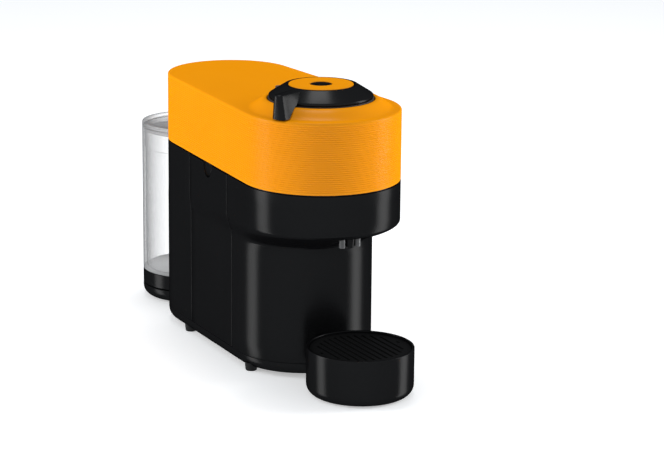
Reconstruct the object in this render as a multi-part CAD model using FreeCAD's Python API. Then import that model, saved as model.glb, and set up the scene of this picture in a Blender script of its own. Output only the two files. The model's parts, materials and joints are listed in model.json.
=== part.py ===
import FreeCAD, Part
import math
import os

# Pod coffee machine with a ribbed head cover, a locking lid, a rear water tank and a loose cup support.
# Units are millimetres. The model is drawn about the brewing axis, which is vertical, with +Y to the rear,
# and every piece is moved on export so that the origin is the middle of the footprint on the table.

V = FreeCAD.Vector
UP = V(0, 0, 1)
FAR = 400.0                    # larger than any piece

# ---------------------------------------------------------------- driving dimensions
# overall
machine_height = 250.0
head_radius = 68.0             # front end of the head, half of the machine's width
head_rear_radius = 56.8
head_centres = 172.7           # brewing axis to the centre of the head's rear end
lower_front_y = 32.5           # centre of the lower body's front end
lower_setback = 7.6            # the lower body's front end is this much narrower than the head's
lower_rear_radius = 57.0
tank_radius = 43.5
tank_y = 263.7
tray_radius = 45.2

# levels, each from the one above it
knob_height = 20.0             # lever and disc above the cover
collar_rise = 8.0
cover_height = 60.5
seam_height = 1.2
band_height = 33.8
blend_height = 20.5            # the lower body blends into the head over this height
blend_steps = 12
deck_above_band = 6.5
deck_thickness = 3.0
foot_height = 3.0
pan_top = 14.0

# walls and clearances
wall = 2.5
seam = 0.3                     # half of the groove between two shells
slide_gap = 0.5                # between a piece that slides out and what it slides in
turn_gap = 0.4                 # between pieces that turn past each other
shaft_gap = 0.05               # running fit, radial
seat_gap = 0.2                 # round a piece that stands in a hole

# base
pan_round = 9.0
foot_radius = 5.6
foot_taper = 0.6
foot_front_y = 22.0
foot_rear_y = 151.0
foot_inset = 6.6
rear_foot_x = 18.0
platform_bottom = 1.0
platform_top = 12.6
screw_post_radius = 5.0
stand_post_radius = 3.5
stand_top = 34.0
boss_top = 34.0
boss_radius = 4.0
boss_bore = 1.5
screw_seat = 9.0
screw_radius = 1.4
screw_head_radius = 3.0
screw_head_height = 2.0

# cord entry
gland_angle = 20.0
gland_z = 30.0
gland_side = 14.0
gland_bore = 3.6
gland_length = 9.0

# capsule container and its bay
bay_front_y = 47.6
bay_rear_y = 134.3
bay_wall = 2.0
bay_left = 53.0                # its open end, left of the brewing axis
container_depth_x = 41.0       # its inner end, on the right of the brewing axis
notch_y = 91.5
notch_half_width = 9.0
notch_drop = 12.5

# brewing unit, levels from the head's top
cup_radius = 36.0
cup_bottom_drop = 58.0
cup_height = 43.0
capsule_radius = 29.5
chamber_inner_radius = 41.8
chamber_wall = 2.2
chamber_wall_margin = 7.0      # from the chamber's inner wall to its drain
drain_radius = 3.0
chamber_drop = 68.0
chamber_height = 60.0
shaft_radius = 5.0
bearing_radius = 11.0
bearing_height = 7.0
bearing_pitch = 17.0
carrier_radius = 14.0
carrier_drop = 9.0             # how far it hangs under the deck
pulley_drop = 20.0
pulley_height = 8.0
pulley_flange = 2.2
cup_pulley_radius = 14.0
motor_pulley_radius = 7.0
belt_thickness = 1.5
motor_x = 26.0
motor_y = 24.0
motor_radius = 19.0
motor_nose_radius = 9.0
motor_shaft_radius = 2.5
motor_height = 54.0
motor_plate = 2.5
chute_half_width = 35.0
chute_front_y = 50.0
chute_rear_y = 84.0
chute_fall = 25.0

# lid and lever
hinge_y = 50.5
hinge_pin_radius = 1.5
knuckle_radius = 3.2
knuckle_half_width = 11.0
ear_thickness = 4.0
ear_outside = 16.0
hinge_pocket_front = 42.0
hinge_pocket_rear = 57.0
opening_radius = 45.6
collar_foot_radius = 60.5
lid_radius = 44.5
lid_thickness = 3.5
lid_sink = 3.0                 # the lid plate starts this far under the collar's top
hub_inner = 20.0
hub_outer = 23.0
injector_radius = 26.9
injector_height = 18.0
reader_half = 4.0
reader_front_y = -17.0
reader_rear_y = -11.0
ring_radius = 44.1
ring_top_radius = 30.4
ring_rise = 1.0                # the lever ring's foot above the collar
disc_radius = 27.3
disc_thickness = 2.7
button_radius = 9.2
button_gap = 0.35
lever_angle = -152.0           # the paddle's direction, seen from above
lever_turn = 60.0
paddle_reach = 66.0
paddle_thickness = 8.4
lug_count = 3
lug_half_angle = 9.0
hook_half_angle = 11.0
lug_reach = 41.7
lug_height = 1.9
lock_inner = 28.0
lock_outer = 39.6
lock_height = 3.4
peg_orbit = 32.0
peg_radius = 2.0

# coffee outlet
outlet_setback = 14.7          # from the head's front to the outlet's middle
outlet_half_x = 12.5
outlet_half_y = 9.0
outlet_hang = 4.0              # the outlet block under the band
spout_length = 9.9
pin_offset = 7.1
pin_radius = 2.6
pin_round = 0.8
spout_bore = 2.4
spout_radius = 3.6
spout_root_radius = 4.2
neck_radius = 5.0
duct_radius = 4.2
duct_wall = 1.2

# cup support
tray_gap = 0.5                 # between the cup support and the body
tray_height = 40.8
tray_wall = 2.2
tray_floor = 8.0
tray_round = 9.0
tray_rim_round = 0.8
grid_top = 39.0
grid_thickness = 2.8
grid_ledge = 2.5
grid_margin = 6.5              # from the grid's edge to its slots
slot_width = 2.4
slot_pitch = 6.0
tongue_half_width = 11.0
tongue_reach = 12.0
tongue_thickness = 3.0

# water tank
tank_bottom = 13.2
tank_gap = 1.0                 # between the tank's hollow front and the body
tank_drop = 4.7                # its rim under the band's top
tank_wall = 2.2
tank_corner = 4.0
tank_base_top = 26.8
tank_floor_thickness = 1.8
fill_margin = 20.1             # the fill line under the rim
tank_lid_thickness = 4.4
lid_rim_inner = 37.5
lid_recess = 1.8
plug_depth = 4.1
dock_setback = 14.0            # the dock in front of the tank's centre
dock_radius = 9.0
dock_height = 3.8
dock_half = 4.6
valve_radius = 5.0
valve_low = 16.6
valve_head_low = 20.2
valve_head_top = 22.4
cage_height = 9.9
cage_hole = 2.4
cage_cap = 1.5

# water path and electronics
feed_radius = 2.6
feed_bore = 1.6
pump_x = -24.0
pump_y = 172.0
pump_radius = 16.0
pump_top_margin = 49.0         # the pump's body under the deck
heater_x = 25.0
heater_y = 178.0
heater_half_x = 19.0
heater_half_y = 22.0
heater_top_margin = 33.0
heater_fins = 7
meter_x = -30.0
meter_y = 200.0
board_x0 = -14.0
board_x1 = 38.0
board_y0 = 144.0
board_y1 = 204.0
board_rise = 8.0
board_thickness = 1.6
board_margin = 4.0

# ---------------------------------------------------------------- values that follow
lower_front_radius = head_radius - lower_setback
head_plan = (0.0, head_radius, head_centres, head_rear_radius)
lower_plan = (lower_front_y, lower_front_radius, head_centres, lower_rear_radius)
tray_y = lower_front_y - lower_front_radius - tray_gap - tray_radius
footprint_middle = (tray_y - tray_radius + tank_y + tank_radius) / 2

head_top = machine_height - knob_height
collar_top = head_top + collar_rise
head_bottom = head_top - cover_height
band_top = head_bottom - seam_height
band_bottom = band_top - band_height
lower_top = band_bottom - blend_height
deck_bottom = band_bottom + deck_above_band
deck_top = deck_bottom + deck_thickness
cup_bottom = head_top - cup_bottom_drop
cup_top = cup_bottom + cup_height
chamber_bottom = head_top - chamber_drop
chamber_top = chamber_bottom + chamber_height
carrier_bottom = deck_bottom - carrier_drop
pulley_bottom = deck_bottom - pulley_drop
motor_top = pulley_bottom - 9.0
motor_bottom = motor_top - motor_height
lid_bottom = collar_top - lid_sink
lid_plate_top = lid_bottom + lid_thickness
ring_bottom = collar_top + ring_rise
ring_top = machine_height - 0.4
disc_bottom = machine_height - disc_thickness
hub_bottom = disc_bottom - 3.3
hinge_z = collar_top - 0.5
outlet_y = outlet_setback - head_radius
outlet_recess = band_bottom - outlet_hang
outlet_bottom = outlet_recess - spout_length
tank_top = band_top - tank_drop
tank_floor_top = tank_base_top + tank_floor_thickness
fill_line = tank_top - fill_margin
lid_top = tank_top + tank_lid_thickness
dock_y = tank_y - dock_setback
pump_top = deck_bottom - pump_top_margin
heater_top = deck_bottom - heater_top_margin
board_bottom = deck_top + board_rise
board_top = board_bottom + board_thickness
gland_out = V(math.cos(math.radians(gland_angle)), math.sin(math.radians(gland_angle)), 0)
gland_centre = V(0, head_centres, gland_z) + gland_out * (lower_rear_radius + 0.5)


# ---------------------------------------------------------------- small tools
def export(name, shape):
    # one sub-part, in the frame whose origin is the middle of the footprint
    placed = shape.copy()
    placed.translate(V(0, -footprint_middle, 0))
    placed.exportStep(os.path.join("parts", name + ".step"))


def inset(plan, distance):
    front_y, front_r, rear_y, rear_r = plan
    return (front_y, front_r - distance, rear_y, rear_r - distance)


def plan_wire(plan, z):
    # two round ends of different radius, joined by their common tangents
    front_y, front_r, rear_y, rear_r = plan
    lean = math.asin((front_r - rear_r) / (rear_y - front_y))
    fx, fy = front_r * math.cos(lean), front_y + front_r * math.sin(lean)
    rx, ry = rear_r * math.cos(lean), rear_y + rear_r * math.sin(lean)
    edges = [
        Part.Arc(V(fx, fy, z), V(0, front_y - front_r, z), V(-fx, fy, z)).toShape(),
        Part.LineSegment(V(-fx, fy, z), V(-rx, ry, z)).toShape(),
        Part.Arc(V(-rx, ry, z), V(0, rear_y + rear_r, z), V(rx, ry, z)).toShape(),
        Part.LineSegment(V(rx, ry, z), V(fx, fy, z)).toShape(),
    ]
    return Part.Wire(edges)


def prism(plan, z0, z1):
    return Part.Face(plan_wire(plan, z0)).extrude(V(0, 0, z1 - z0))


def box(x0, x1, y0, y1, z0, z1):
    return Part.makeBox(x1 - x0, y1 - y0, z1 - z0, V(x0, y0, z0))


def rod(x, y, radius, z0, z1):
    return Part.makeCylinder(radius, z1 - z0, V(x, y, z0))


def cone(x, y, low_radius, high_radius, height):
    return Part.makeCone(low_radius, high_radius, height, V(x, y, 0))


def ring(x, y, inner, outer, z0, z1):
    return rod(x, y, outer, z0, z1).cut(rod(x, y, inner, z0 - 1, z1 + 1))


def rod_x(y, z, radius, x0, x1):
    return Part.makeCylinder(radius, x1 - x0, V(x0, y, z), V(1, 0, 0))


def lathe(points, x=0.0, y=0.0):
    # a closed outline of (radius, z) points turned about a vertical axis
    corners = [V(x + r, y, z) for r, z in points]
    outline = Part.makePolygon(corners + [corners[0]])
    return Part.Face(outline).revolve(V(x, y, 0), UP, 360)


def coil_spring(x, y, radius, wire, z0, z1, turns):
    # a round wire coil between two levels, each half turn a tilted half circle
    rise = (z1 - z0 - 2 * wire) / (2 * turns)
    half_turns = []
    for i in range(2 * turns):
        side = 1 if i % 2 == 0 else -1
        z = z0 + wire + i * rise
        first, last = V(x + side * radius, y, z), V(x - side * radius, y, z + rise)
        middle = V(x, y + side * math.hypot(radius, rise / 2), z + rise / 2)
        half_turns.append(Part.Arc(first, middle, last).toShape())
    section = Part.Wire(Part.makeCircle(wire, V(x + radius, y, z0 + wire), V(0, 1, 0)))
    return Part.Wire(half_turns).makePipeShell([section], True, False)


def edges_at(shape, z):
    # the edges that lie in a level plane
    flat = lambda edge: abs(edge.BoundBox.ZMin - z) < 1e-4 and abs(edge.BoundBox.ZMax - z) < 1e-4
    return [edge for edge in shape.Edges if flat(edge)]


def fuse(shapes):
    whole = shapes[0]
    for shape in shapes[1:]:
        whole = whole.fuse(shape)
    return whole.removeSplitter()


def sector(inner, outer, z0, z1, angle, half_angle):
    # part of a ring round the brewing axis, centred on an angle
    corners = [V(inner, 0, z0), V(outer, 0, z0), V(outer, 0, z1), V(inner, 0, z1)]
    face = Part.makePolygon(corners + [corners[0]])
    piece = Part.Face(face).revolve(V(0, 0, 0), UP, 2 * half_angle)
    piece.rotate(V(0, 0, 0), UP, angle - half_angle)
    return piece


def hose(points, radius, bore=0.0):
    # a round hose along straight runs joined by tangent arcs
    corners = [V(*p) for p in points]
    edges = []
    start = corners[0]
    for before, corner, after in zip(corners, corners[1:], corners[2:]):
        into = (corner - before).normalize()
        out = (after - corner).normalize()
        half_turn = into.getAngle(out) / 2
        reach = 0.45 * min(corner.distanceToPoint(before), corner.distanceToPoint(after))
        bend = reach / math.tan(half_turn)
        first, last = corner - into * reach, corner + out * reach
        inward = (out - into).normalize()
        centre = corner + inward * (bend / math.cos(half_turn))
        edges.append(Part.LineSegment(start, first).toShape())
        edges.append(Part.Arc(first, centre - inward * bend, last).toShape())
        start = last
    edges.append(Part.LineSegment(start, corners[-1]).toShape())
    path = Part.Wire(edges)
    heading = (corners[1] - corners[0]).normalize()
    section = Part.Wire(Part.makeCircle(radius, corners[0], heading))
    body = path.makePipeShell([section], True, False)
    if bore:
        hole = path.makePipeShell([Part.Wire(Part.makeCircle(bore, corners[0], heading))], True, False)
        body = body.cut(hole)
    return body


# ---------------------------------------------------------------- outer body
def blend_solid(distance, lift):
    # the stretch where the head's outline draws in to the lower body's, as an S from the side
    sections = []
    for step in range(blend_steps + 1):
        drop = step / blend_steps
        share = drop * drop * (3 - 2 * drop)
        mixed = [a + share * (b - a) for a, b in zip(head_plan, lower_plan)]
        z = band_bottom - drop * (band_bottom - lower_top) + lift
        sections.append(plan_wire(inset(mixed, distance), z))
    return Part.makeLoft(sections, True, True)


def body_solid(distance, lift, z0, z1):
    # the body under the head cover as one solid, its walls moved in by a distance
    head = prism(inset(head_plan, distance), band_bottom + lift, z1)
    blend = blend_solid(distance, lift)
    lower = prism(inset(lower_plan, distance), z0, lower_top + lift)
    return fuse([head, blend, lower])


def make_body_shell():
    outer = body_solid(0, 0, pan_top, band_top)
    inner = body_solid(wall, wall * 0.8, pan_top - 1, band_top + 1)
    return outer, inner, outer.cut(inner)


def housing_boss(x, y):
    return ring(x, y, boss_bore, boss_radius, pan_top, boss_top)


def boss_on_end(centre_y, radius, angle):
    # a point on a round end, at an angle seen from its centre
    a = math.radians(angle)
    return radius * math.cos(a), centre_y + radius * math.sin(a)


boss_inset = wall + 3.0
front_bosses = [boss_on_end(lower_front_y, lower_front_radius - boss_inset, a) for a in (-40, -140)]
rear_bosses = [boss_on_end(head_centres, lower_rear_radius - boss_inset, a) for a in (62, 118)]
head_posts = [(s * x, y) for x, y in ((55.0, 38.0), (48.5, 150.0)) for s in (-1, 1)]
head_post_radius = 3.6


def outlet_hole():
    half_x, half_y = outlet_half_x + 0.1, outlet_half_y + 0.1
    return box(-half_x, half_x, outlet_y - half_y, outlet_y + half_y, outlet_bottom - 10, band_top)


def gland_block(side, length):
    # a square block across the wall at the cord entry, on the right at the rear
    block = Part.makeBox(length, side, side, V(-length / 2, -side / 2, -side / 2))
    block.rotate(V(0, 0, 0), UP, gland_angle)
    block.translate(gland_centre)
    return block


def make_housings(outer, inner, shell):
    front = shell.common(box(-FAR, FAR, -FAR, bay_front_y - seam, 0, FAR)).cut(outlet_hole())
    front = fuse([front] + [housing_boss(x, y) for x, y in front_bosses])
    front = front.common(outer)
    rear = shell.common(box(-FAR, FAR, bay_rear_y + seam, FAR, 0, FAR))
    rear = fuse([rear] + [housing_boss(x, y) for x, y in rear_bosses])
    rear = rear.common(outer).cut(gland_block(gland_side, 30))
    side = shell.common(box(0, FAR, bay_front_y + seam, bay_rear_y - seam, 0, FAR))
    export("front_housing", front)
    export("rear_housing", rear)
    export("right_side_cover", side)


def make_gland():
    start = gland_centre - gland_out * (gland_length / 2 + 1)
    bore = Part.makeCylinder(gland_bore, gland_length + 2, start, gland_out)
    export("cord_gland", gland_block(gland_side, gland_length).cut(bore))


# ---------------------------------------------------------------- base
def rounded_pan(distance, z0, z1, radius):
    pan = prism(inset(lower_plan, distance), z0, z1)
    return pan.makeFillet(radius, edges_at(pan, z0))


def platform_solid():
    return Part.makeCylinder(tank_radius, platform_top - platform_bottom, V(0, tank_y, platform_bottom))


def pan_outer():
    platform = platform_solid()
    platform = platform.makeFillet(pan_round, edges_at(platform, platform_bottom))
    return rounded_pan(0, foot_height, pan_top, pan_round), platform


pump_bottom = 30.0
feed_level = 7.0
feed_points = [(0, dock_y - dock_half, feed_level), (0, dock_y - 22, feed_level), (-16, dock_y - 42, 9.6),
               (pump_x, dock_y - 60, 10.2), (pump_x, pump_y, pan_top), (pump_x, pump_y, pump_bottom)]


def make_base():
    body_pan, platform = pan_outer()
    pocket = rounded_pan(wall, foot_height + wall, pan_top + 1, pan_round - wall)
    body_pan = body_pan.cut(pocket)
    under = rod(0, tank_y, tank_radius - wall, platform_bottom + wall, platform_top - wall)
    platform = platform.cut(under.cut(prism(inset(lower_plan, -0.5), 0, pan_top)))
    keep_clear = prism(inset(lower_plan, wall), foot_height + wall, pan_top + 1)
    platform = platform.cut(keep_clear)
    front = lower_front_y - lower_front_radius
    tongue = box(-tongue_half_width, tongue_half_width, front - tongue_reach, front + 5,
                 tongue_bottom, tongue_bottom + tongue_thickness)
    posts = [rod(x, y, stand_post_radius, foot_height + wall, stand_top) for x, y in stand_posts]
    screw_posts = [rod(x, y, screw_post_radius, foot_height, pan_top) for x, y in front_bosses + rear_bosses]
    posts += [post.common(rounded_pan(0, foot_height, pan_top, pan_round)) for post in screw_posts]
    pan = fuse([body_pan, platform.cut(body_pan), tongue.cut(pocket)] + posts)
    for x, y in front_bosses + rear_bosses:
        pan = pan.cut(rod(x, y, screw_radius + 0.3, 0, pan_top + 1))
        pan = pan.cut(rod(x, y, screw_head_radius + 0.3, 0, screw_seat))
    pan = pan.cut(hose(feed_points, feed_radius + turn_gap))
    block = dock_half + seat_gap
    pan = pan.cut(box(-block, block, dock_y - block, dock_y + block, dock_block_bottom - seat_gap,
                      platform_top + 1))
    export("base_pan", pan)
    return pan


tongue_bottom = foot_height + 1.0
dock_block_bottom = 4.4
stand_posts = [(pump_x + dx, pump_y + dy) for dx, dy in ((-13, -9), (-13, 9), (13, 9))]
stand_posts += [(heater_x + dx, heater_y + dy) for dx, dy in ((-15, -18), (15, -18), (-15, 18), (9, 18))]


def make_feet(pan):
    feet = []
    for y in (foot_front_y, foot_rear_y):
        lean = (y - lower_front_y) / (head_centres - lower_front_y)
        half = lower_front_radius + lean * (lower_rear_radius - lower_front_radius)
        for side in (-1, 1):
            x = side * (half - foot_inset)
            feet.append(cone(x, y, foot_radius - foot_taper, foot_radius, pan_round))
    rear_foot_y = tank_y + dock_setback
    feet += [rod(x, rear_foot_y, foot_radius, 0, platform_bottom) for x in (-rear_foot_x, rear_foot_x)]
    body_pan, platform = pan_outer()
    solids = [foot.cut(body_pan).cut(platform).cut(pan) for foot in feet]
    export("base_feet", Part.makeCompound(solids))


def make_base_screws():
    screws = []
    for x, y in front_bosses + rear_bosses:
        head = rod(x, y, screw_head_radius, screw_seat - screw_head_height, screw_seat)
        screws.append(fuse([head, rod(x, y, screw_radius, screw_seat, boss_top - 6)]))
    export("base_screws", Part.makeCompound(screws))


# ---------------------------------------------------------------- head
def collar_profile():
    # the raised ring round the lid: a long slope outside, a hollow underneath
    foot, neck, throat = collar_foot_radius, opening_radius + 3.4, opening_radius + 2.2
    return [(foot, head_top - 1), (foot, head_top), (neck, collar_top - 1.1), (neck - 1.6, collar_top),
            (opening_radius, collar_top), (opening_radius, head_top - wall), (throat, head_top - wall),
            (throat, collar_top - 4.6), (foot - 2.9, head_top - 1)]


cover_round = 1.6


def make_head_cover():
    cover = prism(head_plan, head_bottom, head_top)
    cover = cover.makeFillet(cover_round, edges_at(cover, head_top))
    cover = cover.cut(prism(inset(head_plan, wall), head_bottom - 1, head_top - wall))
    join = collar_foot_radius - 2.3
    cover = cover.cut(rod(0, 0, join, head_top - wall - 1, head_top + 1))
    rim = ring(0, 0, join, collar_foot_radius, head_top - wall, head_top)
    cover = fuse([cover, rim, lathe(collar_profile())])
    half = ear_outside + 0.4
    cover = cover.cut(box(-half, half, hinge_pocket_front, hinge_pocket_rear, head_top, collar_top + 5))
    posts = [ring(x, y, boss_bore, head_post_radius, deck_top, head_top - wall) for x, y in head_posts]
    seat = box(-half, half, opening_radius + 0.6, hinge_pocket_rear, head_top - wall, head_top)
    cover = fuse([cover, seat.cut(rod(0, 0, opening_radius + 1.4, 0, FAR))] + posts)
    export("head_cover", cover)


def make_head_seam():
    outside = prism(inset(head_plan, 1.0), band_top, head_bottom)
    export("head_seam", outside.cut(prism(inset(head_plan, 1.0 + wall), 0, FAR)))


def make_deck():
    deck = prism(inset(head_plan, wall + 0.3), deck_bottom, deck_top)
    deck = deck.cut(bay_room(0, FAR)).cut(rod(0, 0, carrier_radius + seat_gap, 0, FAR))
    deck = deck.cut(rod(0, outlet_y, neck_radius + seat_gap, 0, FAR))
    for x, y in head_posts:
        deck = deck.cut(rod(x, y, screw_radius + seat_gap, 0, FAR))
    export("chassis_deck", deck)


def make_deck_screws():
    screws = []
    for x, y in head_posts:
        head = rod(x, y, screw_head_radius - 0.2, deck_bottom - screw_head_height, deck_bottom)
        screws.append(fuse([head, rod(x, y, screw_radius, deck_bottom, deck_top + 12)]))
    export("deck_screws", Part.makeCompound(screws))


# ---------------------------------------------------------------- capsule container
def make_container(outer, inner):
    front = bay_front_y + seam
    rear = bay_rear_y - seam
    bin_top = deck_bottom - 1
    bin_floor = bay_floor + bay_wall + slide_gap
    solid = outer.common(box(-FAR, container_depth_x, front, rear, pan_top + seam, band_top - seam))
    solid = solid.cut(box(-bay_left - 1.5, FAR, -FAR, FAR, 0, bin_floor))
    hollow = inner.common(box(-FAR, container_depth_x - bay_wall, front + bay_wall, rear - bay_wall,
                              bin_floor + wall, FAR))
    solid = solid.cut(hollow).cut(box(-bay_left, FAR, -FAR, FAR, bin_top, FAR))
    notch = Part.Ellipse(V(0, 0, 0), notch_drop, notch_half_width).toShape()
    notch = Part.Face(Part.Wire(notch))
    notch.rotate(V(0, 0, 0), V(0, 1, 0), 90)
    notch = notch.extrude(V(FAR - bay_left + 13, 0, 0))
    notch.translate(V(-FAR, notch_y, band_top - seam))
    export("capsule_container", solid.cut(notch))


bay_floor = pan_top + 0.5


def bay_room(z0, z1):
    # the space that the container slides in, open on the left
    y0, y1 = bay_front_y + seam - slide_gap, bay_rear_y - seam + slide_gap
    return box(-FAR, container_depth_x + slide_gap, y0, y1, z0, z1)


def make_bay():
    x1 = container_depth_x + slide_gap + bay_wall
    y0, y1 = bay_front_y + seam - slide_gap - bay_wall, bay_rear_y - seam + slide_gap + bay_wall
    outside = box(-bay_left, x1, y0, y1, bay_floor, deck_bottom)
    legs = [box(x, x + bay_wall, y0 + 4, y1 - 4, foot_height + wall, bay_floor) for x in (-30, 24)]
    bay = fuse([outside.cut(bay_room(bay_floor + bay_wall, FAR))] + legs)
    export("container_bay", bay.common(prism(inset(lower_plan, wall + slide_gap), 0, FAR)))


def chute_side(x0, x1, high_front, high_rear):
    # an upright plate that follows the trough's fall
    low_front = cup_bottom + chute_fall
    low_rear = cup_bottom
    corners = [V(x0, chute_front_y, low_front), V(x0, chute_front_y, low_front + high_front),
               V(x0, chute_rear_y, low_rear + high_rear), V(x0, chute_rear_y, low_rear)]
    return Part.Face(Part.makePolygon(corners + [corners[0]])).extrude(V(x1 - x0, 0, 0))


def make_chute():
    # a sloping trough that leads a used capsule from the brewing chamber to the container
    half, plate = chute_half_width, 2.0
    pieces = [chute_side(plate - half, half - plate, plate, plate)]
    front, rear = chute_front_y - 9.5, chute_front_y - 5.5
    top = cup_bottom + chute_fall
    for x in (-half, half - plate):
        pieces.append(chute_side(x, x + plate, 18.0, 18.0))
        pieces.append(box(x, x + plate, front, rear, deck_top, top))
        pieces.append(box(x, x + plate, front, chute_front_y + 2, top - 2, top + 1.6))
    export("capsule_chute", fuse(pieces))


# ---------------------------------------------------------------- brewing unit
def make_brewing():
    shoulder, waist = cup_top - 3, cup_bottom + 15
    cradle = [(capsule_radius + 1.5, cup_top), (capsule_radius, cup_top - 1.6),
              (capsule_radius, cup_top - 19), (25, waist - 1), (15, cup_bottom + 7.5), (0, cup_bottom + 5)]
    bowl = [(0, cup_bottom), (14, cup_bottom), (33, waist), (33, shoulder), (cup_radius, shoulder),
            (cup_radius, cup_top)]
    export("capsule_cup", lathe(bowl + cradle))
    export("spin_shaft", rod(0, 0, shaft_radius, pulley_bottom - 1, cup_bottom))
    export("cup_pulley", pulley(0, 0, cup_pulley_radius, shaft_radius))
    low = carrier_bottom + 2
    bearings = [ring(0, 0, shaft_radius + shaft_gap, bearing_radius, z, z + bearing_height)
                for z in (low, low + bearing_pitch)]
    export("spin_bearings", Part.makeCompound(bearings))
    flange, lip, top = carrier_radius + 8, shaft_radius + 3, chamber_bottom
    carrier = lathe([(lip, carrier_bottom), (carrier_radius, carrier_bottom), (carrier_radius, deck_top),
                     (flange, deck_top), (flange, deck_top + 3), (carrier_radius, deck_top + 3),
                     (carrier_radius, top - 3), (flange - 2, top - 3), (flange - 2, top),
                     (bearing_radius, top), (bearing_radius, low), (lip, low)])
    export("bearing_carrier", carrier)
    outer = chamber_inner_radius + chamber_wall
    floor, collar, throat = chamber_bottom + 3, chamber_bottom + 7, shaft_radius + 2
    chamber = lathe([(throat, chamber_bottom), (outer, chamber_bottom), (outer, chamber_top),
                     (chamber_inner_radius, chamber_top), (chamber_inner_radius, floor), (16, floor),
                     (16, collar), (throat, collar)])
    window = box(-31, 31, 10, 60, cup_bottom + chute_fall + 2, chamber_top + 1)
    drain = rod(0, chamber_wall_margin - chamber_inner_radius, drain_radius, 0, collar)
    export("brew_chamber", chamber.cut(window).cut(drain))
    make_lock_collar(outer + 1)


def make_lock_collar(outer):
    # the ring that the lid's lugs lock into: its hooks stand lever_turn away from the lugs
    hook = lid_bottom - 1
    pieces = [ring(0, 0, lug_reach + 0.6, outer, chamber_top, hook - 2)]
    for i in range(lug_count):
        angle = lever_angle + lever_turn + i * 360 / lug_count
        pieces.append(sector(lug_reach - 1.5, outer, hook - 2.1, hook, angle, hook_half_angle))
    export("lock_collar", fuse(pieces).cut(box(-13, 13, 20, 60, hook - 1, FAR)))


def pulley(x, y, radius, bore):
    z0, z1 = pulley_bottom, pulley_bottom + pulley_height
    rim = radius + pulley_flange
    return lathe([(bore, z0), (rim, z0), (rim, z0 + 1), (radius, z0 + 1), (radius, z1 - 1), (rim, z1 - 1),
                  (rim, z1), (bore, z1)], x, y)


def make_drive():
    can = rod(motor_x, motor_y, motor_radius, motor_bottom, motor_top)
    nose = rod(motor_x, motor_y, motor_nose_radius, motor_top, motor_top + 3.5)
    bore = rod(motor_x, motor_y, motor_shaft_radius + shaft_gap, motor_bottom + 4, motor_top + 5)
    export("drive_motor", fuse([can, nose]).cut(bore))
    shaft_top = pulley_bottom + pulley_height + 1
    export("motor_shaft", rod(motor_x, motor_y, motor_shaft_radius, motor_bottom + 5, shaft_top))
    export("motor_pulley", pulley(motor_x, motor_y, motor_pulley_radius, motor_shaft_radius))
    right = motor_x + motor_radius + 3.5
    plate = box(motor_x - 22, right, motor_y - 18, motor_y + 20, motor_top, motor_top + motor_plate)
    plate = plate.cut(rod(motor_x, motor_y, motor_nose_radius + seat_gap, 0, FAR))
    leg = box(right - 2.3, right, motor_y - 9, motor_y + 15, foot_height + wall, motor_top)
    export("motor_bracket", fuse([plate, leg]))
    span = math.hypot(motor_x, motor_y)
    inside = (0, cup_pulley_radius + 0.1, span, motor_pulley_radius + 0.1)
    belt = prism(inset(inside, -belt_thickness), pulley_bottom + 1.3, pulley_bottom + pulley_height - 1.3)
    belt = belt.cut(prism(inside, 0, FAR))
    belt.rotate(V(0, 0, 0), UP, math.degrees(math.atan2(motor_y, motor_x)) - 90)
    export("drive_belt", belt)


def make_outlet():
    block = box(-outlet_half_x, outlet_half_x, outlet_y - outlet_half_y, outlet_y + outlet_half_y,
                outlet_recess, deck_bottom)
    spout = lathe([(0, outlet_bottom), (spout_radius, outlet_bottom), (spout_root_radius, outlet_recess),
                   (0, outlet_recess)], 0, outlet_y)
    neck = rod(0, outlet_y, neck_radius, deck_bottom, deck_top + 2)
    body = fuse([block, spout, neck]).cut(rod(0, outlet_y, spout_bore, 0, FAR))
    pins = []
    for side in (-1, 1):
        pin = rod(side * pin_offset, outlet_y, pin_radius, outlet_bottom, outlet_recess + 4)
        body = body.cut(pin)
        pins.append(pin.makeFillet(pin_round, edges_at(pin, outlet_bottom)))
    export("coffee_outlet", body)
    export("outlet_pins", Part.makeCompound(pins))
    drain_y = chamber_wall_margin - chamber_inner_radius
    route = [(0, drain_y, chamber_bottom), (0, drain_y, chamber_bottom - 7),
             (0, outlet_y, deck_top + 9), (0, outlet_y, deck_top + 2)]
    export("coffee_duct", hose(route, duct_radius, duct_radius - duct_wall))


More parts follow.
